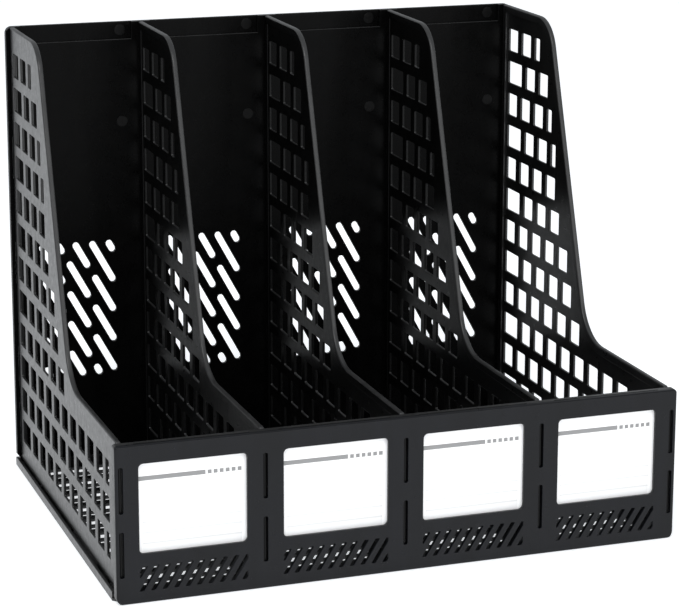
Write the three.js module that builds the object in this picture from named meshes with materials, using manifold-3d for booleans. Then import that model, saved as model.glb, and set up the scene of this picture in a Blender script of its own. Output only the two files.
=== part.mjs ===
// Desktop file sorter: four open bays side by side, snapped together from moulded black plastic panels.
// Millimetres, +Z up, the front faces -Y, origin on the ground under the middle of the rack.
// Inside the rack group, y = 0 is the outer face of the front panel and x = 0 is the middle.
import * as THREE from 'three';
import { mergeVertices } from 'three/addons/utils/BufferGeometryUtils.js';
import Module from 'manifold-3d';

const wasm = await Module();
wasm.setup();

// ---- driving dimensions -------------------------------------------------------------------
const bayCount = 4;
const bayPitch = 81.15;          // from one upright's middle plane to the next
const frontPanelSide = 2.7;      // front panel beyond the outermost bay line, each side
const rackHeight = 277.5;        // to the top of the back panel
const rackDepth = 257.5;         // outer face of the front panel to the back of the base tray
const frontHeight = 89.4;        // top of the front panel
const trayBehindBack = 1;        // base tray beyond the back panel
const clearance = 0.3;           // between pieces that touch

// base tray
const floorThickness = 2;
const trayOverhang = 0.5;        // tray beyond the front panel, each side
const trayLipHeight = 5.3;
const trayLipWidth = 1.8;
const trayCornerChamfer = 2.4;
const floorSlotPitch = 24;       // both rows of floor slots repeat at this depth pitch
const floorSlotSideLand = 21.15; // solid floor between the slots of two bays
const wideFloorSlot = { first: 35, width: 9.4 };
const narrowFloorSlot = { first: 25.2, width: 6 };
const floorSlotBackMargin = 22;

// front panel
const frontWall = 2.4;
const frontRimDepth = 6.5;       // top rim and side returns, front to back
const frontRimHeight = 2.4;
const frontReturnWall = 1.7;
const frontEdgeRadius = 3.2;     // upright outer edges
const frontBottomRadius = 4.2;
const frontTopRadius = 1.8;
const windowSideLand = 20.75;    // panel between two windows
const windowTopLand = 10.8;      // panel above a window
const windowBottom = 28;
const windowRadius = 2.6;
const ventSideLand = 20.55;      // panel between the vent fields of two bays
const ventBottom = 7;
const ventHeight = 14;
const ventSlotPitch = 6.4;
const ventSlotWidth = 2.3;       // measured along x
const ventSlotLean = 0.63;       // x travelled per unit of height
const ventSlotPhase = -25.1;     // a slot's x at the middle of the field, from the bay's middle
const guideRibReach = 5.9;       // ribs beside each upright, from the outer face to their back edge
const guideRibWall = 1.2;
const guideRibBottom = 9;

// label cards and their pockets
const cardSideCover = 1.8;       // card behind the panel at each side of its window
const cardAboveWindow = 3.1;
const cardBelowWindow = 2.3;
const cardThickness = 0.5;
const cardPlay = 0.35;           // free space on each side of a card in its pocket
const pocketWall = 1.3;
const pocketLipCover = 1.8;      // how far a pocket lip reaches over the card's side margin

// uprights: two side panels and the dividers share one profile
const uprightThickness = 3;      // at the rim
const uprightRim = 5;            // width of the thick rim round the outline
const webThickness = 1.6;
const sideInset = 2.4;           // outer face of a side panel from the end of the front panel
const uprightBottom = 4.8;
const uprightTopDrop = 0.1;      // top of an upright below the top of the back panel
const uprightTopCorner = 178.5;  // y where the front slope would meet the top edge
const uprightLowCorner = 115.5;  // y where the front slope would meet the low edge
const topCornerRadius = 23.4;
const lowCornerRadius = 30;
const lowEdgeRise = 0.6;         // low front edge of an upright above the front panel

// brick pattern of holes in the uprights
const holeDepth = 14.6;          // along y
const holeHeight = 14.2;
const holeRowPitch = 20.9;
const holePitch = 20.75;         // along y
const wideHoleDepth = 21.7;      // first hole of every second row
const holeTopMargin = 14.8;      // also kept from the slope and its rounded corner
const holeBottomMargin = 13.5;
const holeBackMargin = 7.2;
const holeFrontMargin = 19.7;
const narrowestHole = 5;

// tongues on the uprights and their slots in the front panel, back panel and floor
const tongueThickness = 1.6;
const tonguePlay = 0.4;          // free space on each side of a tongue in its slot
const tongueSlotHeight = 25.8;
const lowTongueHeight = 15.5;    // lower end of the lowest slots, front and back
const frontTongueDrop = 11.9;    // upper slots' tops below the top of the front panel
const backTongueDrops = [133.7, 67.7];         // slots' tops below the top of the back panel
const frontTongueRecess = 1.7;   // tongue end below the outer face that it looks out of
const backTongueRecess = 0.4;
const footRecess = 0.8;
const footCount = 3;
const footLength = 24;
const footEndMargin = 30;        // solid floor in front of the first foot and behind the last one

// back panel
const backWall = 2.2;
const backPanelDepth = 4.2;      // over its stiffening rim
const backRimWidth = 2.6;
const backTopRadius = 4;
const backCornerRise = 2;        // slant of the bottom corners above the tray's lips
const ledgeDrop = 10.7;          // ledge below the top edge
const ledgeDepth = 2;
const ledgeSideMargin = 6;       // plain land kept beside each upright
const backSlotWidth = 4.2;
const backSlotRun = 11.1;        // x from a slot's upper end to its lower end
const backSlotFall = 20.3;
const backSlotPitch = 19.2;
const backSlotColumns = [-11.9, 4.1, 20.1];   // x of the lower ends, from the bay's middle
const backSlotColumnStep = 9.9;  // each column sits this much higher than the one on its right
const backSlotDatum = 58.5;      // height of the lowest whole slot's lower end, right column
const backFieldBottom = 56.6;
const backFieldTop = 139;
const shortestBackSlot = 2;
const backSlotRunOn = 3;         // a slot that ends this close below the top of the field runs on to it

// ---- derived places -------------------------------------------------------------------------
const frontWidth = bayCount * bayPitch + 2 * frontPanelSide;
const trayWidth = frontWidth + 2 * trayOverhang;
const trayFront = frontWall + clearance;
const floorSlotLength = bayPitch - floorSlotSideLand;
const windowWidth = bayPitch - windowSideLand;
const windowHeight = frontHeight - windowBottom - windowTopLand;
const ventWidth = bayPitch - ventSideLand;
const lowEdgeHeight = frontHeight + lowEdgeRise;
const backPanelRear = rackDepth - trayBehindBack;
const backPanelFront = backPanelRear - backPanelDepth;
const backPanelBottom = floorThickness + clearance;
const uprightFront = frontWall + clearance;
const uprightBack = backPanelFront - clearance;
const uprightTop = rackHeight - uprightTopDrop;
const bayMiddles = Array.from({ length: bayCount }, (_, bay) => (bay - (bayCount - 1) / 2) * bayPitch);
const dividerLines = Array.from({ length: bayCount - 1 }, (_, line) => (line + 1 - bayCount / 2) * bayPitch);
const sideFace = frontWidth / 2 - sideInset;
const sideTongueMiddle = sideFace - tongueThickness / 2;
const tongueLines = [-sideTongueMiddle, ...dividerLines, sideTongueMiddle];
const tongueSlotWidth = tongueThickness + 2 * tonguePlay;
const frontTongueRows = [lowTongueHeight, frontHeight - frontTongueDrop - tongueSlotHeight];
const upperTongueRows = backTongueDrops.map((drop) => rackHeight - drop - tongueSlotHeight);
const backTongueRows = [...frontTongueRows, ...upperTongueRows];
const cardWidth = windowWidth + 2 * cardSideCover;
const cardHeight = windowHeight + cardAboveWindow + cardBelowWindow;
const cardFront = frontWall + cardPlay;
const cardBottom = windowBottom - cardBelowWindow;
const pocketBack = cardFront + cardThickness + cardPlay;
const slope = (uprightTopCorner - uprightLowCorner) / (uprightTop - lowEdgeHeight);
const slopeAngle = Math.atan(slope);
const footPitch = (rackDepth - 2 * footEndMargin - footLength) / (footCount - 1);
const footStarts = Array.from({ length: footCount }, (_, foot) => footEndMargin + foot * footPitch);
const footSpans = footStarts.map((start) => [start, start + footLength]);

// ---- materials -------------------------------------------------------------------------------
const plastic = (color, roughness) => new THREE.MeshStandardMaterial({ color, roughness, metalness: 0 });
const panelPlastic = () => plastic(0x1b1b1d, 0.42);
const frontPlastic = () => plastic(0x222225, 0.5);
const cardPaper = () => plastic(0xf4f4f2, 0.85);

// ---- solid helpers ---------------------------------------------------------------------------
function solid(geometry) {
  geometry.deleteAttribute('normal');
  geometry.deleteAttribute('uv');
  const merged = mergeVertices(geometry, 1e-5);
  const vertProperties = Float32Array.from(merged.attributes.position.array);
  const triVerts = Uint32Array.from(merged.index.array);
  return new wasm.Manifold(new wasm.Mesh({ numProp: 3, vertProperties, triVerts }));
}

function geometryOf(body) {
  const mesh = body.getMesh();
  const geometry = new THREE.BufferGeometry();
  geometry.setAttribute('position', new THREE.BufferAttribute(Float32Array.from(mesh.vertProperties), 3));
  geometry.setIndex(new THREE.BufferAttribute(Uint32Array.from(mesh.triVerts), 1));
  geometry.computeVertexNormals();
  return geometry;
}

function block([x0, x1], [y0, y1], [z0, z1]) {
  const geometry = new THREE.BoxGeometry(x1 - x0, y1 - y0, z1 - z0);
  geometry.translate((x0 + x1) / 2, (y0 + y1) / 2, (z0 + z1) / 2);
  return solid(geometry);
}

const joined = (bodies) => bodies.reduce((sum, body) => sum.add(body));

const pierced = (body, cutters) => body.subtract(joined(cutters));

function extrude(shape, thickness, curveSegments) {
  return new THREE.ExtrudeGeometry(shape, { depth: thickness, bevelEnabled: false, curveSegments });
}

// shape drawn in (x, z), thickness along +y from `front`
function frontPlate(shape, front, thickness, curveSegments = 3) {
  const turn = new THREE.Matrix4().makeBasis(
    new THREE.Vector3(1, 0, 0), new THREE.Vector3(0, 0, 1), new THREE.Vector3(0, -1, 0));
  const geometry = extrude(shape, thickness, curveSegments);
  geometry.applyMatrix4(turn).translate(0, front + thickness, 0);
  return solid(geometry);
}

// shape drawn in (y, z), thickness along +x from `left`
function uprightPlate(shape, left, thickness) {
  const turn = new THREE.Matrix4().makeBasis(
    new THREE.Vector3(0, 1, 0), new THREE.Vector3(0, 0, 1), new THREE.Vector3(1, 0, 0));
  const geometry = extrude(shape, thickness, 6);
  geometry.applyMatrix4(turn).translate(left, 0, 0);
  return solid(geometry);
}

// shape drawn in (x, y), thickness along +z from `bottom`
function floorPlate(shape, bottom, thickness) {
  const geometry = extrude(shape, thickness, 3);
  geometry.translate(0, 0, bottom);
  return solid(geometry);
}

const polygon = (points) => new THREE.Shape(points.map(([a, b]) => new THREE.Vector2(a, b)));

const rectangle = ([a0, a1], [b0, b1]) => polygon([[a0, b0], [a1, b0], [a1, b1], [a0, b1]]);

function roundedRectangle([a0, a1], [b0, b1], lowRadius, highRadius) {
  const shape = new THREE.Shape();
  shape.moveTo(a0 + lowRadius, b0);
  shape.lineTo(a1 - lowRadius, b0);
  if (lowRadius > 0) shape.absarc(a1 - lowRadius, b0 + lowRadius, lowRadius, -Math.PI / 2, 0, false);
  shape.lineTo(a1, b1 - highRadius);
  if (highRadius > 0) shape.absarc(a1 - highRadius, b1 - highRadius, highRadius, 0, Math.PI / 2, false);
  shape.lineTo(a0 + highRadius, b1);
  if (highRadius > 0) shape.absarc(a0 + highRadius, b1 - highRadius, highRadius, Math.PI / 2, Math.PI, false);
  shape.lineTo(a0, b0 + lowRadius);
  if (lowRadius > 0) shape.absarc(a0 + lowRadius, b0 + lowRadius, lowRadius, Math.PI, Math.PI * 1.5, false);
  return shape;
}

// part of a polygon on the kept side of a level: axis 0 or 1, side +1 keeps what is above
function clip(points, axis, level, side) {
  const kept = [];
  points.forEach((here, index) => {
    const next = points[(index + 1) % points.length];
    const hereIn = side * (here[axis] - level) >= 0;
    const nextIn = side * (next[axis] - level) >= 0;
    if (hereIn) kept.push(here);
    if (hereIn !== nextIn) {
      const share = (level - here[axis]) / (next[axis] - here[axis]);
      kept.push([here[0] + share * (next[0] - here[0]), here[1] + share * (next[1] - here[1])]);
    }
  });
  return kept;
}

// ---- uprights --------------------------------------------------------------------------------
// y of the front slope's line at a height
const slopeAt = (height) => uprightLowCorner + slope * (height - lowEdgeHeight);

// outline of an upright, moved inward by `inset`
function uprightOutline(inset) {
  const back = uprightBack - inset;
  const top = uprightTop - inset;
  const bottom = uprightBottom + inset;
  const front = uprightFront + inset;
  const low = lowEdgeHeight - inset;
  const underRim = frontHeight - frontRimHeight - clearance - inset;
  const behindRim = frontRimDepth + clearance + inset;
  const topRadius = topCornerRadius - inset;
  const lowRadius = lowCornerRadius + inset;
  const turn = Math.PI / 2 - slopeAngle;
  const shift = inset / Math.cos(slopeAngle);
  const topTangent = slopeAt(top) + shift + topRadius * Math.tan(turn / 2);
  const lowTangent = slopeAt(low) + shift - lowRadius * Math.tan(turn / 2);
  const shape = new THREE.Shape();
  shape.moveTo(front, bottom);
  shape.lineTo(back, bottom);
  shape.lineTo(back, top);
  shape.lineTo(topTangent, top);
  shape.absarc(topTangent, top - topRadius, topRadius, Math.PI / 2, Math.PI - slopeAngle, false);
  shape.absarc(lowTangent, low + lowRadius, lowRadius, -slopeAngle, -Math.PI / 2, true);
  shape.lineTo(behindRim, low);
  shape.lineTo(behindRim, underRim);
  shape.lineTo(front, underRim);
  return shape;
}

// nearest y that a hole may reach at a height, kept clear of the slope and its top corner
function holeFrontLimit(height) {
  if (height < lowEdgeHeight) return uprightFront + holeFrontMargin;
  const turn = Math.PI / 2 - slopeAngle;
  const topMiddle = slopeAt(uprightTop) + topCornerRadius * Math.tan(turn / 2);
  const topMiddleHeight = uprightTop - topCornerRadius;
  if (height > topMiddleHeight) {
    const reach = (topCornerRadius - holeTopMargin) ** 2 - (height - topMiddleHeight) ** 2;
    return topMiddle - Math.sqrt(Math.max(0, reach));
  }
  const lowMiddle = slopeAt(lowEdgeHeight) - lowCornerRadius * Math.tan(turn / 2);
  const lowMiddleHeight = lowEdgeHeight + lowCornerRadius;
  const onArc = height < lowMiddleHeight - lowCornerRadius * Math.sin(slopeAngle);
  const edge = onArc
    ? lowMiddle + Math.sqrt(lowCornerRadius ** 2 - (height - lowMiddleHeight) ** 2)
    : slopeAt(height);
  return edge + holeTopMargin / Math.cos(slopeAngle);
}

function uprightHoles() {
  const firstTop = uprightTop - holeTopMargin;
  const backLimit = uprightBack - holeBackMargin;
  const span = firstTop - holeHeight - (uprightBottom + holeBottomMargin);
  const rows = Math.floor(span / holeRowPitch) + 1;
  const holes = [];
  for (let row = 0; row < rows; row += 1) {
    const top = firstTop - row * holeRowPitch;
    const limit = holeFrontLimit(top);
    let back = backLimit;
    let depth = row % 2 ? wideHoleDepth : holeDepth;
    while (back - limit >= narrowestHole) {
      const front = Math.max(back - depth, limit);
      holes.push(rectangle([front, back], [top - holeHeight, top]));
      back -= depth + holePitch - holeDepth;
      depth = holeDepth;
    }
  }
  return holes;
}

// an upright whose rim starts at x = left; its web and tongues start at x = webLeft
function upright(left, webLeft) {
  const rim = uprightPlate(uprightOutline(0), left, uprightThickness);
  const inside = uprightPlate(uprightOutline(uprightRim), left - 1, uprightThickness + 2);
  const web = uprightPlate(uprightOutline(uprightRim / 2), webLeft, webThickness);
  const holes = uprightHoles().map((hole) => uprightPlate(hole, webLeft - 1, webThickness + 2));
  const bodies = [rim.subtract(inside), pierced(web, holes)];
  const tongue = [webLeft, webLeft + tongueThickness];
  const frontReach = [frontTongueRecess, uprightFront + uprightRim / 2];
  for (const row of frontTongueRows) {
    bodies.push(block(tongue, frontReach, [row + clearance, row + tongueSlotHeight - clearance]));
  }
  const backReach = [uprightBack - uprightRim / 2, backPanelFront + backWall - backTongueRecess];
  for (const row of backTongueRows) {
    bodies.push(block(tongue, backReach, [row + clearance, row + tongueSlotHeight - clearance]));
  }
  for (const [start, end] of footSpans) {
    bodies.push(block(tongue, [start + clearance, end - clearance],
      [footRecess, uprightBottom + uprightRim / 2]));
  }
  return joined(bodies);
}

// ---- base tray -------------------------------------------------------------------------------
function floorHoles() {
  const holes = [];
  for (const middle of bayMiddles) {
    for (const { first, width } of [wideFloorSlot, narrowFloorSlot]) {
      for (let y = first; y < rackDepth - floorSlotBackMargin; y += floorSlotPitch) {
        holes.push(rectangle(
          [middle - floorSlotLength / 2, middle + floorSlotLength / 2], [y - width / 2, y + width / 2]));
      }
    }
  }
  for (const line of tongueLines) {
    for (const span of footSpans) {
      holes.push(rectangle([line - tongueSlotWidth / 2, line + tongueSlotWidth / 2], span));
    }
  }
  return holes;
}

function baseTray() {
  const half = trayWidth / 2;
  const neck = frontWidth / 2 - frontReturnWall - clearance;
  const shoulder = frontRimDepth + clearance;
  const cut = trayCornerChamfer;
  const outline = polygon([
    [-neck, trayFront], [neck, trayFront], [neck, shoulder], [half - cut, shoulder], [half, shoulder + cut],
    [half, rackDepth - cut], [half - cut, rackDepth], [cut - half, rackDepth], [-half, rackDepth - cut],
    [-half, shoulder + cut], [cut - half, shoulder], [-neck, shoulder],
  ]);
  const holes = floorHoles().map((hole) => floorPlate(hole, -1, floorThickness + 2));
  const bodies = [pierced(floorPlate(outline, 0, floorThickness), holes)];
  for (const side of [-1, 1]) {
    const inner = side * (half - trayLipWidth);
    const lip = polygon([
      [inner, shoulder + cut], [side * half, shoulder + cut],
      [side * half, rackDepth - cut], [inner, rackDepth - cut],
    ]);
    bodies.push(floorPlate(lip, floorThickness / 2, trayLipHeight - floorThickness / 2));
  }
  return joined(bodies);
}

// ---- front panel -----------------------------------------------------------------------------
function ventSlots(middle) {
  const field = [[middle - ventWidth / 2, middle + ventWidth / 2], [ventBottom, ventBottom + ventHeight]];
  const rise = ventHeight / 2;
  const run = ventSlotLean * rise;
  const slots = [];
  const firstIndex = Math.floor((-ventWidth / 2 - ventSlotPhase - run) / ventSlotPitch);
  const lastIndex = Math.ceil((ventWidth / 2 - ventSlotPhase + run) / ventSlotPitch);
  for (let index = firstIndex; index <= lastIndex; index += 1) {
    const x = middle + ventSlotPhase + index * ventSlotPitch;
    const half = ventSlotWidth / 2;
    let points = [
      [x - run - half, ventBottom], [x - run + half, ventBottom],
      [x + run + half, ventBottom + ventHeight], [x + run - half, ventBottom + ventHeight],
    ];
    points = clip(points, 0, field[0][0], 1);
    points = clip(points, 0, field[0][1], -1);
    const width = Math.max(...points.map(([a]) => a)) - Math.min(...points.map(([a]) => a));
    if (points.length > 2 && width > ventSlotWidth / 2) slots.push(polygon(points));
  }
  return slots;
}

function cardPocket(middle) {
  const inner = cardWidth / 2 + cardPlay;
  const outer = inner + pocketWall;
  const reach = [frontWall / 2, pocketBack + pocketWall];
  const bottom = cardBottom - clearance - pocketWall;
  const top = frontHeight - frontRimHeight / 2;
  const bodies = [block([middle - outer, middle + outer], reach, [bottom, cardBottom - clearance])];
  for (const side of [-1, 1]) {
    const rail = [middle + side * inner, middle + side * outer].sort((a, b) => a - b);
    const lip = [middle + side * (inner - cardPlay - pocketLipCover), middle + side * outer];
    bodies.push(block(rail, reach, [bottom, top]));
    bodies.push(block(lip.sort((a, b) => a - b), [pocketBack, reach[1]], [bottom, top]));
  }
  return joined(bodies);
}

function guideRibs() {
  const ribs = [];
  const depth = [frontWall / 2, guideRibReach];
  const height = [guideRibBottom, frontHeight - frontRimHeight / 2];
  const start = uprightThickness / 2 + clearance;
  for (const line of dividerLines) {
    ribs.push(block([line - start - guideRibWall, line - start], depth, height));
    ribs.push(block([line + start, line + start + guideRibWall], depth, height));
  }
  const innerFace = sideFace - uprightThickness - clearance;
  ribs.push(block([-innerFace, -innerFace + guideRibWall], depth, height));
  ribs.push(block([innerFace - guideRibWall, innerFace], depth, height));
  return joined(ribs);
}

function frontPanel() {
  const half = frontWidth / 2;
  const seenFromFront = roundedRectangle([-half, half], [0, frontHeight], frontBottomRadius, frontTopRadius);
  const plan = roundedRectangle([-half, half], [0, frontRimDepth], frontEdgeRadius, 0);
  const rounded = frontPlate(seenFromFront, 0, frontRimDepth)
    .intersect(floorPlate(plan, 0, frontHeight));
  const hollow = block([frontReturnWall - half, half - frontReturnWall], [frontWall, frontRimDepth + 1],
    [-1, frontHeight - frontRimHeight]);
  const body = joined([rounded.subtract(hollow), guideRibs(), ...bayMiddles.map(cardPocket)]);
  const cuts = [];
  const through = frontWall + 2 * clearance;
  for (const middle of bayMiddles) {
    const pane = roundedRectangle([middle - windowWidth / 2, middle + windowWidth / 2],
      [windowBottom, windowBottom + windowHeight], windowRadius, windowRadius);
    cuts.push(frontPlate(pane, -clearance, through));
    cuts.push(block([middle - cardWidth / 2 - cardPlay, middle + cardWidth / 2 + cardPlay],
      [frontWall, pocketBack], [frontHeight - 2 * frontRimHeight, frontHeight + 1]));
    cuts.push(...ventSlots(middle).map((slot) => frontPlate(slot, -clearance, through)));
  }
  for (const line of tongueLines) {
    for (const row of frontTongueRows) {
      cuts.push(block([line - tongueSlotWidth / 2, line + tongueSlotWidth / 2],
        [-clearance, frontWall + clearance / 2], [row, row + tongueSlotHeight]));
    }
  }
  return pierced(body, cuts);
}

// ---- back panel ------------------------------------------------------------------------------
// slanted slot with round ends, from its upper end to its lower end
function capsule([x0, z0], [x1, z1], width) {
  const radius = width / 2;
  const along = Math.atan2(z1 - z0, x1 - x0);
  const shape = new THREE.Shape();
  shape.absarc(x1, z1, radius, along - Math.PI / 2, along + Math.PI / 2, false);
  shape.absarc(x0, z0, radius, along + Math.PI / 2, along + Math.PI * 1.5, false);
  return shape;
}

function backSlots(middle) {
  const lean = backSlotRun / backSlotFall;
  const slots = [];
  backSlotColumns.forEach((column, index) => {
    const raise = (backSlotColumns.length - 1 - index) * backSlotColumnStep;
    const offset = (backSlotDatum + raise - backFieldBottom) % backSlotPitch;
    for (let low = backFieldBottom + offset - backSlotPitch * 2; low < backFieldTop; low += backSlotPitch) {
      const bottom = Math.max(low, backFieldBottom);
      const end = low + backSlotFall;
      const top = end > backFieldTop - backSlotRunOn ? backFieldTop : end;
      if (top - bottom < shortestBackSlot) continue;
      const lowerEnd = middle + column;
      slots.push(capsule([lowerEnd - (top - low) * lean, top], [lowerEnd - (bottom - low) * lean, bottom],
        backSlotWidth));
    }
  });
  return slots;
}

function backPanel() {
  const half = frontWidth / 2;
  const radius = backTopRadius;
  const outline = (inset) => {
    const betweenLips = trayWidth / 2 - trayLipWidth - clearance - inset;
    const overLip = trayLipHeight + clearance + inset;
    const shape = new THREE.Shape();
    shape.moveTo(-betweenLips, backPanelBottom + inset);
    shape.lineTo(betweenLips, backPanelBottom + inset);
    shape.lineTo(betweenLips, overLip);
    shape.lineTo(half - inset, overLip + backCornerRise);
    shape.absarc(half - radius, rackHeight - radius, radius - inset, 0, Math.PI / 2, false);
    shape.absarc(radius - half, rackHeight - radius, radius - inset, Math.PI / 2, Math.PI, false);
    shape.lineTo(inset - half, overLip + backCornerRise);
    shape.lineTo(-betweenLips, overLip);
    return shape;
  };
  const wall = frontPlate(outline(0), backPanelFront, backWall);
  const rim = frontPlate(outline(0), backPanelFront + backWall / 2, backPanelDepth - backWall / 2);
  const insideRim = frontPlate(outline(backRimWidth), backPanelFront, backPanelDepth + 1);
  const cuts = [];
  for (const middle of bayMiddles) {
    cuts.push(...backSlots(middle).map((slot) => frontPlate(slot, backPanelFront - 1, backWall + 2, 2)));
  }
  for (const line of tongueLines) {
    for (const row of backTongueRows) {
      cuts.push(block([line - tongueSlotWidth / 2, line + tongueSlotWidth / 2],
        [backPanelFront - 1, backPanelRear + 1], [row, row + tongueSlotHeight]));
    }
  }
  const steps = [];
  const ledge = rackHeight - ledgeDrop;
  bayMiddles.forEach((middle) => {
    const side = bayPitch / 2 - ledgeSideMargin;
    cuts.push(block([middle - side, middle + side],
      [backPanelFront - 1, backPanelFront + ledgeDepth], [ledge, rackHeight + 1]));
    steps.push(block([middle - side - backWall, middle + side + backWall],
      [backPanelFront + backWall / 2, backPanelRear], [ledge - backWall, rackHeight - backRimWidth / 2]));
  });
  return pierced(joined([wall, rim.subtract(insideRim), ...steps]), cuts);
}

// ---- label cards -----------------------------------------------------------------------------
function labelCard(middle) {
  return block([middle - cardWidth / 2, middle + cardWidth / 2], [cardFront, cardFront + cardThickness],
    [cardBottom, cardBottom + cardHeight]);
}

// ---- assembly --------------------------------------------------------------------------------
const group = new THREE.Group();
group.position.y = -rackDepth / 2;

function addPiece(name, body, material) {
  const mesh = new THREE.Mesh(geometryOf(body), material);
  mesh.name = name;
  group.add(mesh);
}

addPiece('base_tray', baseTray(), panelPlastic());
addPiece('front_panel', frontPanel(), frontPlastic());
addPiece('back_panel', backPanel(), panelPlastic());
const webOffset = (uprightThickness - webThickness) / 2;
addPiece('left_side_panel', upright(-sideFace, -sideFace), panelPlastic());
addPiece('right_side_panel', upright(sideFace - uprightThickness, sideFace - webThickness), panelPlastic());
dividerLines.forEach((line, index) => {
  const left = line - uprightThickness / 2;
  addPiece(`divider_${index + 1}`, upright(left, left + webOffset), panelPlastic());
});
bayMiddles.forEach((middle, index) => addPiece(`label_card_${index + 1}`, labelCard(middle), cardPaper()));

export default group;
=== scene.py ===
"""Looks of the desktop file sorter: bevelled black mouldings, printed label cards, soft studio light.

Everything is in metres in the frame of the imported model. The rack stands on z = 0 and faces -Y.
"""
import math

import bmesh
import bpy
from mathutils import Matrix, Vector
from mathutils.geometry import delaunay_2d_cdt


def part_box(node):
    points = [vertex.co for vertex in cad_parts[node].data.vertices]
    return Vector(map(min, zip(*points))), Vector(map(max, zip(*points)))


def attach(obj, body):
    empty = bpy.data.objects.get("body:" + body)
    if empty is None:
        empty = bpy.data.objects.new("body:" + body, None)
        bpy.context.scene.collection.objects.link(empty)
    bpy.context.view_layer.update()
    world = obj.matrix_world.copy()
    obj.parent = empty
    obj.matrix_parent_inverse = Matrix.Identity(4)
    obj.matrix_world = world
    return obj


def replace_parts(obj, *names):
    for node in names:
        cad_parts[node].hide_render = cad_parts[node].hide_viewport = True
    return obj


# ---- sizes that repeat the part's own -----------------------------------------------------
BAY_COUNT = 4
BAY_PITCH = 0.08115
LEDGE_DEPTH = 0.002          # the back panel's top strip lies this far behind its wall

# ---- camera ---------------------------------------------------------------------------------
IMAGE_WIDTH = 679
CAMERA_PLACE = Vector((-0.4692, -1.36645, 0.5013))
CAMERA_FORWARD = Vector((0.3251, 0.9179, -0.2276))
CAMERA_RIGHT = Vector((0.9428, -0.3332, 0.0031))
SENSOR_WIDTH = 36.0
FOCAL_PIXELS = 2517.2
CAMERA_SHIFT = (-0.0218, -0.1026)
CAMERA_REACH = 50.0

# ---- studio ---------------------------------------------------------------------------------
WORLD_COLOUR = (0.93, 0.965, 1.0, 1.0)
WORLD_STRENGTH = 0.55
FLOOR_REACH = 40.0           # from the middle to each edge
FLOOR_ALBEDO = 0.82
FLOOR_ROUGHNESS = 0.8
FLOOR_SPECULAR = 0.2
FLOOR_GLOW_COLOUR = (0.95, 0.975, 1.0, 1.0)
FLOOR_GLOW = 0.6             # keeps the ground white in the rack's shade
# name, place, target, size and power of each softbox
SOFTBOXES = (("key", (-0.75, -1.5, 1.9), (0.0, 0.0, 0.15), (0.8, 0.8), 22.0),
             ("edge", (0.75, -2.2, 0.50), (0.0, 0.0, 0.2), (1.3, 0.45), 11.0))

# ---- edges of the mouldings ------------------------------------------------------------------
WELD_DISTANCE = 2e-6
SAME_LEVEL = 2e-5
LEVEL_DIGITS = 5
FLAT_NORMAL = 0.999          # share of a normal along an axis from which a face is square to it
CUT_SCALE = 1000.0           # the triangulation works in millimetres
CUT_TOLERANCE = 1e-6
FLAT_ANGLE = math.radians(1.0)
ROUND_FROM = math.radians(50)
SMOOTH_ANGLE = math.radians(50)
UPWARD = 0.4                 # upward share of a normal from which a face counts as looking up
LARGEST_SHARE = 0.45         # of an edge that a rounded corner may use up
EDGE_RADIUS = 0.0004
EDGE_SEGMENTS = 3
UPRIGHT_EDGE_RADIUS = 0.0009
UPRIGHT_EDGE_SEGMENTS = 4
OUTLINE_RADIUS = 0.0012
HOLE_CORNER_RADIUS = 0.0010
HOLE_CORNER_SEGMENTS = 4
SLOT_CORNER_RADIUS = 0.0003
SLOT_END_RADIUS = 0.0015
SLOT_SEGMENTS = 4
TONGUE_SLOT_RADIUS = 0.0009
TONGUE_SLOT_EASE = 0.0003
WIDEST_TONGUE_SLOT = 0.003
SHORTEST_TONGUE_SLOT = 0.015
TONGUE_GAP_CLOSED = 0.0003
TONGUE_RUN = 0.005           # length of a tongue, most of it inside the rim

# ---- front panel -----------------------------------------------------------------------------
FRONT_TOP_RADIUS = 0.0018
FRONT_BOTTOM_RADIUS = 0.0042
FRONT_FACE_RADIUS = 0.0008   # corner radius left on the flat of the face
FRONT_EDGE_RADIUS = 0.0008   # along the top and bottom of the face
FRONT_END_RADIUS = 0.0015    # along its left and right ends, seen from the front
FRONT_END_DEPTH = 0.0024     # and seen from above
RIM_FOOT = 0.0025            # height at which the legs of the rim end
FRONT_SEGMENTS = 6
WINDOW_RADIUS = 0.0026
WINDOW_EDGE_RADIUS = 0.0005
SMALLEST_WINDOW = 0.03
POCKET_WALL = 0.0013
PAST_THE_ENDS = 1.0          # further out than any part of the rim

# ---- round ejector marks on the back panel ---------------------------------------------------
MARK_RADIUS = 0.0034
MARK_RISE = 0.00025
MARK_SINK = 0.0003
MARK_SETBACK = 0.0127        # from the upright on its right
MARK_HEIGHTS = ((0.2723, LEDGE_DEPTH), (0.2157, 0.0))
MARK_SIDES = 32

# ---- moulded plastic --------------------------------------------------------------------------
PLASTIC_IOR = 1.5
SINK_SCALE, SINK_DEPTH, SINK_STRENGTH = 26.0, 0.0009, 0.35
FLOW_STRETCH = (70.0, 70.0, 9.0)
FLOW_DISTORTION = 0.6
FLOW_RANGE = (0.35, 0.65)
GRAIN_SCALE, GRAIN_DEPTH = 2600.0, 0.00002
MOTTLE_SCALE, MOTTLE_DEPTH = 240.0, 0.00006
MOTTLE_RANGE = (0.3, 0.7)
SCRATCH_STRETCH = (420.0, 420.0, 14.0)
SCRATCH_RANGE = (0.66, 0.72)
SCRATCH_DEPTH, SCRATCH_STRENGTH, SCRATCH_ROUGHNESS = 0.00001, 0.4, 0.12
DUST_SCALE = 900.0
DUST_RANGE = (0.70, 0.78)
DUST_FACING = (0.3, 1.0)     # upward share of the normal over which dust thickens
DUST_COVER = (0.05, 0.6)
DUST_ALBEDO, DUST_ROUGHNESS = 0.12, 0.25

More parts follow.
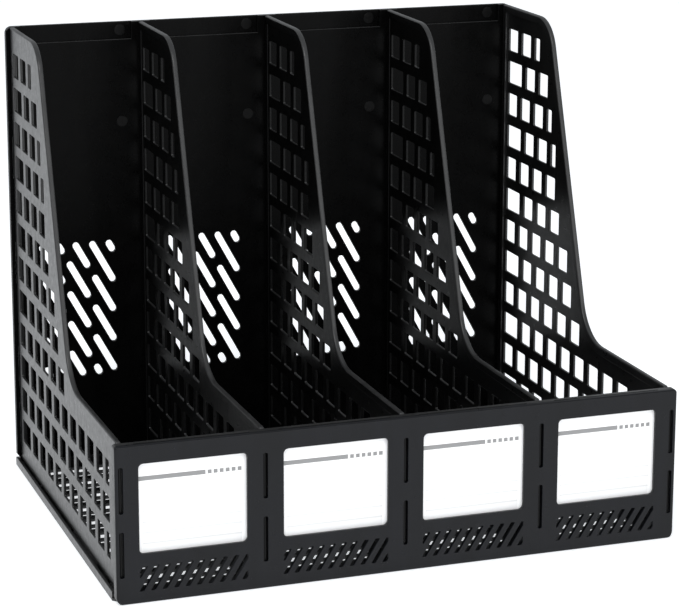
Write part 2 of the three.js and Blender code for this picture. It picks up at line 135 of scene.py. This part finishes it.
# ---- print on the label cards, from the middle of the bay and from the ground -----------------
HEADER = ((-0.0300, 0.0075), (0.06835, 0.07085))
SQUARE_FIRST = 0.0098
SQUARE_PITCH = 0.00336
SQUARE_COUNT = 6
SQUARE_SIZE = 0.0022
SQUARE_HEIGHT = 0.0696
RULE_FIRST = 0.0329
RULE_PITCH = 0.0060
RULE_COUNT = 6
RULE_WIDTH = 0.0009
RULE_REACH = 0.0277
TINT_TOP = 0.056
TINT_BOTTOM = 0.029
TINT_STRENGTH, TINT_ALBEDO = 0.22, 0.28
TINT_LEAN = (0.45, 1.0)      # its share at the left and right edges
RULE_INK, RULE_ALBEDO = 0.35, 0.40
HEADER_INK, HEADER_ALBEDO = 0.95, 0.22
FRONT_FACING = (-0.6, -0.4)  # y of the normal over which the print fades out
PAPER_ALBEDO = (0.90, 0.94)
PAPER_ROUGHNESS = 0.55
# the card's faint glow is painted light that lifts the shade of the window round it
PAPER_PAINTED_GLOW = 0.1
FIBRE_SCALE, FIBRE_DEPTH, FIBRE_STRENGTH = 2200.0, 0.00002, 0.5
FIBRE_RANGE = (0.3, 0.7)

# ---- places in the material lists of the mouldings ---------------------------------------------
# index 2 of an upright and index 1 of a panel take a lighter copy of the plastic, a painted highlight; the
# tongues take the darker copy, a painted shade
UPRIGHT_TONGUE, UPRIGHT_PAINTED_HIGHLIGHT = 1, 2
PANEL_PAINTED_HIGHLIGHT = 1

UPRIGHTS = ("left_side_panel", "divider_1", "divider_2", "divider_3", "right_side_panel")


# ---- shader graph helpers ---------------------------------------------------------------------
class Graph:
    """Builds one material's nodes; every call returns the new node's output socket."""

    def __init__(self, name):
        self.material = bpy.data.materials.new(name)
        self.material.use_nodes = True
        self.tree = self.material.node_tree
        self.shader = self.tree.nodes["Principled BSDF"]

    def put(self, socket, value):
        if isinstance(value, bpy.types.NodeSocket):
            self.tree.links.new(value, socket)
        elif value is not None:
            socket.default_value = value

    def node(self, kind, output=0, inputs=(), **settings):
        node = self.tree.nodes.new(kind)
        for key, value in settings.items():
            setattr(node, key, value)
        for key, value in dict(inputs).items():
            self.put(node.inputs[key], value)
        return node.outputs[output]

    def math(self, operation, first, second=None, third=None):
        inputs = {0: first, 1: second, 2: third}
        return self.node("ShaderNodeMath", inputs=inputs, operation=operation)

    def place(self):
        return self.node("ShaderNodeTexCoord", output="Object")

    def axes(self, vector):
        node = self.tree.nodes.new("ShaderNodeSeparateXYZ")
        self.put(node.inputs[0], vector)
        return node.outputs

    def noise(self, vector, scale, detail=2.0, roughness=0.5, distortion=0.0):
        inputs = {"Vector": vector, "Scale": scale, "Detail": detail, "Roughness": roughness,
                  "Distortion": distortion}
        return self.node("ShaderNodeTexNoise", inputs=inputs)

    def stretched(self, vector, scale):
        return self.node("ShaderNodeMapping", inputs={"Vector": vector, "Scale": scale})

    def remap(self, value, low, high, to_low, to_high):
        inputs = {"Value": value, "From Min": low, "From Max": high, "To Min": to_low, "To Max": to_high}
        return self.node("ShaderNodeMapRange", inputs=inputs)

    def mix(self, share, first, second):
        node = self.tree.nodes.new("ShaderNodeMix")
        node.data_type = "RGBA"
        self.put(node.inputs[0], share)
        self.put(node.inputs[6], first)
        self.put(node.inputs[7], second)
        return node.outputs[2]

    def bump(self, height, distance, strength=1.0, normal=None):
        inputs = {"Height": height, "Distance": distance, "Strength": strength, "Normal": normal}
        return self.node("ShaderNodeBump", inputs=inputs)

    def near(self, value, middle, reach):
        return self.math("COMPARE", value, middle, reach)

    def both(self, first, second):
        return self.math("MULTIPLY", first, second)

    def either(self, first, second):
        return self.math("MAXIMUM", first, second)


def grey(value):
    return (value, value, value, 1.0)


def moulded_plastic(name, dark, light, smooth, rough, grain, specular):
    """Injection-moulded black plastic: mould grain, slow sink marks, flow streaks, fine scratches, dust."""
    g = Graph(name)
    place = g.place()
    slow = g.noise(place, SINK_SCALE, detail=3.0)
    flow = g.noise(g.stretched(place, FLOW_STRETCH), 1.0, detail=3.0, distortion=FLOW_DISTORTION)
    fine = g.noise(place, GRAIN_SCALE, detail=1.0)
    mottle = g.noise(place, MOTTLE_SCALE, detail=4.0, roughness=0.65)
    streak = g.noise(g.stretched(place, SCRATCH_STRETCH), 1.0, detail=4.0, roughness=0.7)
    scratch = g.remap(streak, *SCRATCH_RANGE, 0.0, 1.0)
    dust = g.remap(g.noise(place, DUST_SCALE, detail=5.0, roughness=0.8), *DUST_RANGE, 0.0, 1.0)
    facing = g.axes(g.node("ShaderNodeNewGeometry", output="Normal"))[2]
    settled = g.both(dust, g.remap(facing, *DUST_FACING, *DUST_COVER))
    tone = g.mix(g.remap(flow, *FLOW_RANGE, 0.0, 1.0), dark, light)
    g.put(g.shader.inputs["Base Color"], g.mix(settled, tone, grey(DUST_ALBEDO)))
    wear = g.math("ADD", g.remap(mottle, *MOTTLE_RANGE, smooth, rough), g.both(scratch, SCRATCH_ROUGHNESS))
    g.put(g.shader.inputs["Roughness"], g.math("ADD", wear, g.both(settled, DUST_ROUGHNESS)))
    normal = g.bump(slow, SINK_DEPTH, SINK_STRENGTH)
    normal = g.bump(mottle, MOTTLE_DEPTH, grain, normal)
    normal = g.bump(fine, GRAIN_DEPTH, grain, normal)
    normal = g.bump(scratch, SCRATCH_DEPTH, SCRATCH_STRENGTH, normal)
    g.put(g.shader.inputs["Normal"], normal)
    g.shader.inputs["IOR"].default_value = PLASTIC_IOR
    g.shader.inputs["Specular IOR Level"].default_value = specular
    return g.material


def printed_card(name):
    """White card: grey header bar, row of squares, pale ruled lines and a tint that deepens downward; it
    glows faintly, a painted light that lifts the shade of its window.
    """
    g = Graph(name)
    place = g.place()
    x, y, z = g.axes(place)
    bay = g.math("FRACT", g.math("ADD", g.math("DIVIDE", x, BAY_PITCH), float(BAY_COUNT)))
    across = g.math("MULTIPLY", g.math("SUBTRACT", bay, 0.5), BAY_PITCH)
    (left, right), (low, high) = HEADER
    bar = g.both(g.near(across, (left + right) / 2, (right - left) / 2),
                 g.near(z, (low + high) / 2, (high - low) / 2))
    squares_middle = SQUARE_FIRST + SQUARE_PITCH * (SQUARE_COUNT - 1) / 2
    in_row = g.near(across, squares_middle, SQUARE_PITCH * SQUARE_COUNT / 2)
    step = g.math("FRACT", g.math("DIVIDE", g.math("SUBTRACT", across, SQUARE_FIRST - SQUARE_PITCH / 2),
                                  SQUARE_PITCH))
    square = g.both(g.both(in_row, g.near(step, 0.5, SQUARE_SIZE / SQUARE_PITCH / 2)),
                    g.near(z, SQUARE_HEIGHT, SQUARE_SIZE / 2))
    rules_middle = RULE_FIRST + RULE_PITCH * (RULE_COUNT - 1) / 2
    in_rules = g.both(g.near(z, rules_middle, RULE_PITCH * RULE_COUNT / 2), g.near(across, 0.0, RULE_REACH))
    level = g.math("FRACT", g.math("DIVIDE", g.math("SUBTRACT", z, RULE_FIRST - RULE_PITCH / 2), RULE_PITCH))
    rule = g.both(in_rules, g.near(level, 0.5, RULE_WIDTH / RULE_PITCH / 2))
    fade = g.remap(z, TINT_BOTTOM, TINT_TOP, TINT_STRENGTH, 0.0)
    lean = g.remap(across, -RULE_REACH, RULE_REACH, *TINT_LEAN)
    tint = g.both(g.both(fade, lean), g.near(across, 0.0, RULE_REACH))
    fibre = g.noise(place, FIBRE_SCALE, detail=4.0, roughness=0.7)
    paper = g.mix(g.remap(fibre, *FIBRE_RANGE, 0.0, 1.0), *(grey(albedo) for albedo in PAPER_ALBEDO))
    facing = g.axes(g.node("ShaderNodeNewGeometry", output="Normal"))[1]
    to_front = g.remap(facing, *FRONT_FACING, 1.0, 0.0)
    header = g.either(bar, square)
    inked = g.mix(g.both(to_front, tint), paper, grey(TINT_ALBEDO))
    inked = g.mix(g.both(to_front, g.both(rule, RULE_INK)), inked, grey(RULE_ALBEDO))
    inked = g.mix(g.both(to_front, g.both(header, HEADER_INK)), inked, grey(HEADER_ALBEDO))
    g.put(g.shader.inputs["Base Color"], inked)
    # the card glows in its print colours: painted light against the window's shade
    g.put(g.shader.inputs["Emission Color"], inked)
    g.shader.inputs["Emission Strength"].default_value = PAPER_PAINTED_GLOW
    g.shader.inputs["Roughness"].default_value = PAPER_ROUGHNESS
    g.put(g.shader.inputs["Normal"], g.bump(fibre, FIBRE_DEPTH, FIBRE_STRENGTH))
    return g.material


# ---- outlines of the CAD nodes -------------------------------------------------------------------
def flat_levels(mesh, axis):
    """Places along an axis where a mesh has flat faces square to it."""
    return sorted({round(face.calc_center_median()[axis], LEVEL_DIGITS) for face in mesh.faces
                   if abs(face.normal[axis]) > FLAT_NORMAL})


def twice_area(loop):
    return sum(a.x * b.y - b.x * a.y for a, b in zip(loop, loop[1:] + loop[:1]))


def turn_at(before, here, after):
    return -(here - before).angle_signed(after - here)


def straightened(loop):
    """The loop without the points that lie on a straight run."""
    kept = []
    for index, here in enumerate(loop):
        if abs(turn_at(loop[index - 1], here, loop[(index + 1) % len(loop)])) > FLAT_ANGLE:
            kept.append(here)
    return kept


def outlines(mesh, axis, level, side):
    """Outlines of the flat faces at a level; side is which way they face. Material is on each loop's left."""
    region = {face for face in mesh.faces
              if face.normal[axis] * side > FLAT_NORMAL
              and abs(face.calc_center_median()[axis] - level) < SAME_LEVEL}
    follow = {}
    for face in region:
        for corner in face.loops:
            others = [other for other in corner.edge.link_faces if other is not face]
            if not any(other in region for other in others):
                follow[corner.vert] = corner.link_loop_next.vert
    across, along = (axis + 1) % 3, (axis + 2) % 3
    loops = []
    while follow:
        start = next(iter(follow))
        points = [start]
        here = follow.pop(start)
        while here is not start:
            points.append(here)
            here = follow.pop(here)
        loop = [Vector((point.co[across], point.co[along])) for point in points]
        loops.append(straightened(loop if side > 0 else loop[::-1]))
    return loops


def rounded(loop, radii, steps):
    """The loop with its corners turned into arcs, as far as its edges leave room; one radius or one each."""
    points = []
    radii = radii if isinstance(radii, tuple) else (radii,) * len(loop)
    for index, (here, radius) in enumerate(zip(loop, radii)):
        before, after = loop[index - 1], loop[(index + 1) % len(loop)]
        turn = turn_at(before, here, after)
        if abs(turn) < ROUND_FROM:
            points.append(here)
            continue
        half = math.tan(abs(turn) / 2)
        room = LARGEST_SHARE * min((here - before).length, (after - here).length)
        reach = min(radius * half, room)
        run = (here - before).normalized()
        start = here - run * reach
        aside = Vector((-run.y, run.x)) * math.copysign(reach / half, turn)
        for step in range(steps + 1):
            angle = turn * step / steps
            points.append(start + aside - Matrix.Rotation(angle, 2) @ aside)
    return points


def rectangle(low, high):
    return [Vector((low[0], low[1])), Vector((high[0], low[1])), Vector((high[0], high[1])),
            Vector((low[0], high[1]))]


def extent(loop):
    """Lowest and highest corner of a loop."""
    return (Vector((min(point.x for point in loop), min(point.y for point in loop))),
            Vector((max(point.x for point in loop), max(point.y for point in loop))))


def clipped(loop, coordinate, level, side):
    """The part of a loop that lies above (side 1) or below (side -1) a level of one coordinate."""
    kept = []
    for here, after in zip(loop, loop[1:] + loop[:1]):
        short, over = level - here[coordinate], after[coordinate] - level
        if side * short <= 0:
            kept.append(here)
        if short * over > 0:
            kept.append(here.lerp(after, short / (short + over)))
    return kept


def quarter(steps):
    """Angles of a quarter turn in equal steps."""
    return [step / steps * math.pi / 2 for step in range(steps + 1)]


class Moulding:
    """A closed solid put together from walls that follow loops and caps that close them."""

    def __init__(self, axis):
        self.axis = axis
        self.mesh = bmesh.new()

    def point(self, flat, level):
        place = [0.0, 0.0, 0.0]
        place[self.axis] = level
        place[(self.axis + 1) % 3] = flat.x
        place[(self.axis + 2) % 3] = flat.y
        return self.mesh.verts.new(place)

    def skin(self, rings):
        """Faces from ring to ring of (flat place, level); returns the first and last ring of vertices."""
        rings = [[self.point(flat, level) for flat, level in ring] for ring in rings]
        for lower, upper in zip(rings, rings[1:]):
            for index in range(len(lower)):
                beside = (index + 1) % len(lower)
                self.mesh.faces.new((lower[index], lower[beside], upper[beside], upper[index]))
        return rings[0], rings[-1]

    def wall(self, loop, low, high, ease_low=EDGE_RADIUS, ease_high=EDGE_RADIUS, steps=EDGE_SEGMENTS):
        """A wall from low to high with rounded ends; returns its first and last ring of vertices."""
        aside = []
        for index, here in enumerate(loop):
            into = (here - loop[index - 1]).normalized()
            out = (loop[(index + 1) % len(loop)] - here).normalized()
            mean = Vector((-into.y - out.y, into.x + out.x))
            aside.append(mean * (2.0 / mean.length_squared))
        angles = quarter(steps)
        ends = [(ease_low * (1 - math.sin(angle)), low + ease_low * (1 - math.cos(angle)))
                for angle in angles] if ease_low else [(0.0, low)]
        ends += [(ease_high * (1 - math.sin(angle)), high - ease_high * (1 - math.cos(angle)))
                 for angle in reversed(angles)] if ease_high else [(0.0, high)]
        return self.skin([[(here + side * inset, level) for here, side in zip(loop, aside)]
                          for inset, level in ends])

    def cap(self, rings, side):
        """A flat face between rings of vertices, which have the material on their left."""
        verts = [vert for ring in rings for vert in ring]
        across, along = (self.axis + 1) % 3, (self.axis + 2) % 3
        flat = [Vector((vert.co[across], vert.co[along])) * CUT_SCALE for vert in verts]
        border = set()
        first = 0
        for ring in rings:
            border |= {(first + index, first + (index + 1) % len(ring)) for index in range(len(ring))}
            first += len(ring)
        _, _, faces, origins, _, _ = delaunay_2d_cdt(flat, list(border), [], 0, CUT_TOLERANCE)
        triangles = [tuple(origins[index][0] for index in face) for face in faces]
        beside = {}
        for triangle in triangles:
            for edge in zip(triangle, triangle[1:] + triangle[:1]):
                beside[edge] = triangle
        inside = set()
        waiting = [beside[edge] for edge in border]
        while waiting:
            triangle = waiting.pop()
            if triangle in inside:
                continue
            inside.add(triangle)
            for here, there in zip(triangle, triangle[1:] + triangle[:1]):
                if (here, there) not in border and (there, here) in beside:
                    waiting.append(beside[(there, here)])
        for triangle in sorted(inside):
            corners = [verts[index] for index in triangle]
            self.mesh.faces.new(corners if side > 0 else corners[::-1])

    def plate(self, loops, low, high, ease_low=EDGE_RADIUS, ease_high=EDGE_RADIUS):
        """A flat plate with the given outlines and holes."""
        ends = [self.wall(loop, low, high, ease_low, ease_high) for loop in loops]
        self.cap([end[0] for end in ends], -1)
        self.cap([end[1] for end in ends], 1)

    def add(self, other, material_index=0):
        """Takes in the faces of another moulding and frees it."""
        moved = {vert: self.mesh.verts.new(vert.co) for vert in other.mesh.verts}
        for face in other.mesh.faces:
            self.mesh.faces.new([moved[vert] for vert in face.verts]).material_index = material_index
        other.mesh.free()


# ---- mouldings ---------------------------------------------------------------------------------
def cad_mesh(node):
    bm = bmesh.new()
    bm.from_mesh(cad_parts[node].data)
    bmesh.ops.remove_doubles(bm, verts=bm.verts, dist=WELD_DISTANCE)
    bm.normal_update()
    return bm


def show(name, bm, materials, body="rack"):
    """Turns the mesh into a shown piece that rides on a body."""
    for face in bm.faces:
        face.smooth = True
    mesh = bpy.data.meshes.new(name)
    bm.to_mesh(mesh)
    bm.free()
    mesh.set_sharp_from_angle(angle=SMOOTH_ANGLE)
    for material in materials:
        mesh.materials.append(material)
    piece = bpy.data.objects.new(name, mesh)
    bpy.context.scene.collection.objects.link(piece)
    even = piece.modifiers.new("even_shading", "WEIGHTED_NORMAL")
    even.keep_sharp = True
    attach(piece, body)
    return piece


def painted_highlight_upward(bm, material_index):
    """Gives the faces that look up the lighter plastic, a painted highlight where light from above falls."""
    bm.normal_update()
    for face in bm.faces:
        if face.normal.z > UPWARD:
            face.material_index = material_index


def upright(node, material):
    """A side panel or divider: thick rim, thin web with rounded holes, tongues and feet."""
    cad = cad_mesh(node)
    levels = flat_levels(cad, 0)
    low, high = levels[0], levels[-1]
    if len(levels) == 4:
        web_low, web_high = levels[1:3]
    elif low < 0:
        web_low, web_high = low, levels[1]
    else:
        web_low, web_high = levels[1], high
    proud_low = web_low > low
    rim = outlines(cad, 0, low, -1) if proud_low else outlines(cad, 0, high, 1)
    web = outlines(cad, 0, web_high, 1) if proud_low and web_high < high else None
    web = web or (outlines(cad, 0, web_low, -1) if proud_low else outlines(cad, 0, web_high, 1))
    outer = rounded(max(rim, key=twice_area), OUTLINE_RADIUS, HOLE_CORNER_SEGMENTS)
    inner = min(rim, key=twice_area)
    holes = [rounded(loop, HOLE_CORNER_RADIUS, HOLE_CORNER_SEGMENTS) for loop in web if twice_area(loop) < 0]
    solid = Moulding(0)
    outside = solid.wall(outer, low, high, UPRIGHT_EDGE_RADIUS, UPRIGHT_EDGE_RADIUS, UPRIGHT_EDGE_SEGMENTS)
    # the outer edge all round takes the lighter plastic, a painted highlight
    for face in solid.mesh.faces:
        face.material_index = UPRIGHT_PAINTED_HIGHLIGHT
    perforated = [solid.wall(loop, web_low, web_high) for loop in holes]
    for side, rim_level, web_level in ((-1, low, web_low), (1, high, web_high)):
        end = 0 if side < 0 else 1
        hole_ends = [ends[end] for ends in perforated]
        if rim_level == web_level:
            solid.cap([outside[end], *hole_ends], side)
            continue
        step = (solid.wall(inner, rim_level, web_level, EDGE_RADIUS, 0.0) if side < 0
                else solid.wall(inner, web_level, rim_level, 0.0, EDGE_RADIUS))
        solid.cap([outside[end], step[end]], side)
        solid.cap([step[1 - end][::-1], *hole_ends], side)
    painted_highlight_upward(solid.mesh, UPRIGHT_PAINTED_HIGHLIGHT)
    corner_low, corner_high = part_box(node)
    for axis, level, side in ((1, corner_low.y, -1), (1, corner_high.y, 1), (2, corner_low.z, -1)):
        tongues = Moulding(axis)
        near, far = sorted((level, level - side * TONGUE_RUN))
        for loop in outlines(cad, axis, level, side):
            tongues.plate([loop], near, far)
        solid.add(tongues, UPRIGHT_TONGUE)
    cad.free()
    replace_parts(show(node + "_moulding", solid.mesh, [material, shaded_inner_plastic, painted_highlight_plastic]),
                node)


def hole_rounded(loop):
    """Square slots keep crisp corners; slanted slots get full round ends."""
    if twice_area(loop) > 0:
        return loop
    return rounded(loop, SLOT_CORNER_RADIUS if len(loop) == 4 else SLOT_END_RADIUS, SLOT_SEGMENTS)


def tongue_gap_closed(loop):
    """A tongue slot drawn in round its tongue, so that no light passes beside it; other loops unchanged."""
    low, high = extent(loop)
    if high.y - low.y > WIDEST_TONGUE_SLOT or high.x - low.x < SHORTEST_TONGUE_SLOT:
        return loop
    middle = (low.y + high.y) / 2
    return [Vector((point.x, point.y + math.copysign(TONGUE_GAP_CLOSED, middle - point.y))) for point in loop]


def back_panel(material):
    """The wall with its slots in front, and the rim with the ledges of the bays behind it."""
    cad = cad_mesh("back_panel")
    front, ledge, wall_back, rear = flat_levels(cad, 1)
    solid = Moulding(1)
    loops = [tongue_gap_closed(loop) for loop in outlines(cad, 1, front, -1)]
    solid.plate([hole_rounded(loop) for loop in loops], front, wall_back)
    solid.plate(outlines(cad, 1, rear, 1), ledge, rear)
    painted_highlight_upward(solid.mesh, PANEL_PAINTED_HIGHLIGHT)
    cad.free()
    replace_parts(show("back_panel_moulding", solid.mesh, [material, painted_highlight_plastic]),
                "back_panel")


def base_tray(material):
    """The slotted floor and the lip along each side."""
    cad = cad_mesh("base_tray")
    under, top, lip = flat_levels(cad, 2)
    solid = Moulding(2)
    floor_loops = [loop if twice_area(loop) > 0 else rounded(loop, SLOT_CORNER_RADIUS, SLOT_SEGMENTS)
                   for loop in outlines(cad, 2, under, -1)]
    solid.plate(floor_loops, under, top)
    for loop in outlines(cad, 2, lip, 1):
        solid.plate([loop], top - EDGE_RADIUS, lip, ease_low=0.0)
    cad.free()
    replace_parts(show("base_tray_moulding", solid.mesh, [material]), "base_tray")


def front_face(solid, low, high, front, back):
    """The outer skin of the front panel, whose ends are rounder than its top and bottom."""
    rings = []
    flat_radii = (FRONT_FACE_RADIUS,) * 4
    full_radii = (FRONT_BOTTOM_RADIUS, FRONT_TOP_RADIUS, FRONT_TOP_RADIUS, FRONT_BOTTOM_RADIUS)
    # how far each point of the outline belongs to an end rather than to the top or bottom
    endness = [(math.cos(angle) if corner % 2 == 0 else math.sin(angle)) ** 2
               for corner in range(4) for angle in quarter(FRONT_SEGMENTS)]
    for angle in quarter(FRONT_SEGMENTS):
        inset = 1 - math.sin(angle)
        shrink = Vector((FRONT_EDGE_RADIUS * inset, FRONT_END_RADIUS * inset))
        radii = tuple(full + (flat - full) * inset for full, flat in zip(full_radii, flat_radii))
        depth = 1 - math.cos(angle)
        loop = rounded(rectangle(low + shrink, high - shrink), radii, FRONT_SEGMENTS)
        deepening = FRONT_END_DEPTH - FRONT_EDGE_RADIUS
        rings.append([(point, front + depth * (FRONT_EDGE_RADIUS + deepening * share))
                      for point, share in zip(loop, endness)])
    rings.append([(point, back) for point, _ in rings[-1]])
    return solid.skin(rings)


def front_panel(material):
    """Face with windows, slots and vents; behind it the rim, the guide ribs and the card pockets."""
    cad = cad_mesh("front_panel")
    front, wall_back, pocket_back, lip_back, rib_back, rim_back = flat_levels(cad, 1)
    solid = Moulding(1)
    rim = max(outlines(cad, 1, rim_back, 1), key=twice_area)
    low, high = extent(rim)
    low.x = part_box("front_panel")[0].z
    rim = clipped(rim, 0, low.x + RIM_FOOT, 1)
    outside = front_face(solid, low, high, front, wall_back)
    ends = []
    for loop in outlines(cad, 1, wall_back, 1):
        if twice_area(loop) > 0:
            continue
        corner_low, corner_high = extent(loop)
        if corner_high.y - corner_low.y > SMALLEST_WINDOW:
            window = rounded(rectangle(corner_low, corner_high), WINDOW_RADIUS, FRONT_SEGMENTS)[::-1]
            ends.append(solid.wall(window, front, wall_back, WINDOW_EDGE_RADIUS))
        else:
            upright_slot = corner_high.x - corner_low.x > 2 * (corner_high.y - corner_low.y)
            radius, ease = ((TONGUE_SLOT_RADIUS, TONGUE_SLOT_EASE) if upright_slot
                            else (SLOT_CORNER_RADIUS, EDGE_RADIUS))
            ends.append(solid.wall(rounded(loop, radius, SLOT_SEGMENTS), front, wall_back, ease))
    solid.cap([outside[0], *(end[0] for end in ends)], -1)
    solid.cap([outside[1], *(end[1] for end in ends)], 1)
    lands = Moulding(1)
    lands.plate([rim], pocket_back, rim_back, ease_low=0.0)
    card_slots = [extent(loop) for loop in outlines(cad, 2, high.x, 1) if twice_area(loop) < 0]
    card_slots = sorted((low_corner.x, high_corner.x) for low_corner, high_corner in card_slots)
    edges = [low.y - PAST_THE_ENDS, *(edge for slot in card_slots for edge in slot), high.y + PAST_THE_ENDS]
    for left, right in zip(edges[::2], edges[1::2]):
        piece = clipped(clipped(rim, 1, left, 1), 1, right, -1)
        lands.plate([piece], wall_back, pocket_back, 0.0, 0.0)
    # the rim behind the face takes the lighter plastic, a painted highlight along its top
    solid.add(lands, PANEL_PAINTED_HIGHLIGHT)
    for loop in outlines(cad, 1, rib_back, 1):
        solid.plate([loop], wall_back, rib_back, ease_low=0.0)
    for loop in outlines(cad, 1, lip_back, 1):
        solid.plate([loop], pocket_back, lip_back)
        (bottom, left), (top, right) = extent(loop)
        for strip in (rectangle((bottom, left), (bottom + POCKET_WALL, right)),
                      rectangle((bottom + POCKET_WALL, left), (top, left + POCKET_WALL)),
                      rectangle((bottom + POCKET_WALL, right - POCKET_WALL), (top, right))):
            solid.plate([strip], wall_back, pocket_back + EDGE_RADIUS, 0.0, 0.0)
    cad.free()
    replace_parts(show("front_panel_moulding", solid.mesh, [material, painted_highlight_plastic]),
                "front_panel")


def ejector_marks(material):
    """Shallow round marks that the mould leaves on the back panel, left of each upright."""
    marks = Moulding(1)
    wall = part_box("back_panel")[0].y
    for bay in range(BAY_COUNT):
        x = (bay + 1 - BAY_COUNT / 2) * BAY_PITCH - MARK_SETBACK
        for height, depth in MARK_HEIGHTS:
            turns = [side / MARK_SIDES * math.tau for side in range(MARK_SIDES)]
            loop = [Vector((height + MARK_RADIUS * math.cos(turn), x + MARK_RADIUS * math.sin(turn)))
                    for turn in turns]
            marks.plate([loop], wall + depth - MARK_RISE, wall + depth + MARK_SINK, MARK_RISE / 2, 0.0)
    show("ejector_marks", marks.mesh, [material])


# ---- stage ---------------------------------------------------------------------------------------
def floor():
    """The plain white ground."""
    bm = bmesh.new()
    bmesh.ops.create_grid(bm, x_segments=1, y_segments=1, size=FLOOR_REACH)
    mesh = bpy.data.meshes.new("studio_floor")
    bm.to_mesh(mesh)
    bm.free()
    g = Graph("studio_floor")
    g.shader.inputs["Base Color"].default_value = grey(FLOOR_ALBEDO)
    g.shader.inputs["Roughness"].default_value = FLOOR_ROUGHNESS
    g.shader.inputs["Specular IOR Level"].default_value = FLOOR_SPECULAR
    g.shader.inputs["Emission Color"].default_value = FLOOR_GLOW_COLOUR
    g.shader.inputs["Emission Strength"].default_value = FLOOR_GLOW
    mesh.materials.append(g.material)
    piece = bpy.data.objects.new("studio_floor", mesh)
    bpy.context.scene.collection.objects.link(piece)


def area_light(name, place, target, size, power):
    light = bpy.data.lights.new(name, "AREA")
    light.shape = "RECTANGLE"
    light.size, light.size_y = size
    light.energy = power
    lamp = bpy.data.objects.new(name, light)
    lamp.location = place
    lamp.rotation_euler = (Vector(target) - Vector(place)).to_track_quat("-Z", "Y").to_euler()
    bpy.context.scene.collection.objects.link(lamp)


def lights():
    """Even pale surroundings, with a softbox on each side of the camera."""
    world = bpy.data.worlds.new("studio")
    world.use_nodes = True
    background = world.node_tree.nodes["Background"]
    background.inputs["Color"].default_value = WORLD_COLOUR
    background.inputs["Strength"].default_value = WORLD_STRENGTH
    bpy.context.scene.world = world
    for softbox in SOFTBOXES:
        area_light(*softbox)
    bpy.context.scene.view_settings.view_transform = "Standard"


def camera():
    data = bpy.data.cameras.new("camera")
    data.sensor_fit = "HORIZONTAL"
    data.sensor_width = SENSOR_WIDTH
    data.lens = FOCAL_PIXELS * SENSOR_WIDTH / IMAGE_WIDTH
    data.shift_x, data.shift_y = CAMERA_SHIFT
    data.clip_end = CAMERA_REACH
    forward = CAMERA_FORWARD.normalized()
    right = (CAMERA_RIGHT - forward * CAMERA_RIGHT.dot(forward)).normalized()
    up = right.cross(forward)
    turn = Matrix((right, up, -forward)).transposed().to_4x4()
    eye = bpy.data.objects.new("camera", data)
    eye.matrix_world = Matrix.Translation(CAMERA_PLACE) @ turn
    bpy.context.scene.collection.objects.link(eye)
    bpy.context.scene.camera = eye


# ---- build ---------------------------------------------------------------------------------------
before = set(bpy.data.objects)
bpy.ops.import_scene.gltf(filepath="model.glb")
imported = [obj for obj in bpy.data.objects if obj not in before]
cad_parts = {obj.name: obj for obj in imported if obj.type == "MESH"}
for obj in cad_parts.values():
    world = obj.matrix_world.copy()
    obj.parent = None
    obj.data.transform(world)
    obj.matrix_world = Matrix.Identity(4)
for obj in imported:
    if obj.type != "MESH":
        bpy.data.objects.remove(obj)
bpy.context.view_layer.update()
camera()
lights()
floor()

# darkest and lightest tone, lowest and highest roughness, grain and specular level of each plastic
panel_plastic = moulded_plastic("panel_plastic", grey(0.004), grey(0.008), 0.26, 0.38, 0.5, 0.5)
# a darker, less glossy copy of the panel plastic: painted shade on the dividers, tongues and ejector marks
# deep in the bays
shaded_inner_plastic = moulded_plastic("shaded_inner_plastic", grey(0.001), grey(0.002), 0.26, 0.38, 0.4, 0.15)
front_plastic = moulded_plastic("front_plastic", (0.003, 0.0034, 0.0046, 1), (0.0045, 0.005, 0.007, 1),
                                0.26, 0.38, 0.5, 0.24)
# a lighter copy of the same black plastic: painted highlight on edges and upward faces
painted_highlight_plastic = moulded_plastic("painted_highlight_plastic", grey(0.014), grey(0.024), 0.34, 0.46, 0.4, 0.6)
# a still darker copy: painted shade on the back panel at the back of the bays
shaded_back_plastic = moulded_plastic("shaded_back_plastic", grey(0.0008), grey(0.0016), 0.24, 0.34, 0.4, 0.05)
card_paper = printed_card("card_paper")

base_tray(panel_plastic)
back_panel(shaded_back_plastic)
front_panel(front_plastic)
# the dividers take the darker copy of the plastic, a painted shade
for name in UPRIGHTS:
    upright(name, shaded_inner_plastic if name.startswith("divider") else panel_plastic)
for bay in range(BAY_COUNT):
    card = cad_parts[f"label_card_{bay + 1}"]
    card.data.materials.clear()
    card.data.materials.append(card_paper)
ejector_marks(shaded_inner_plastic)
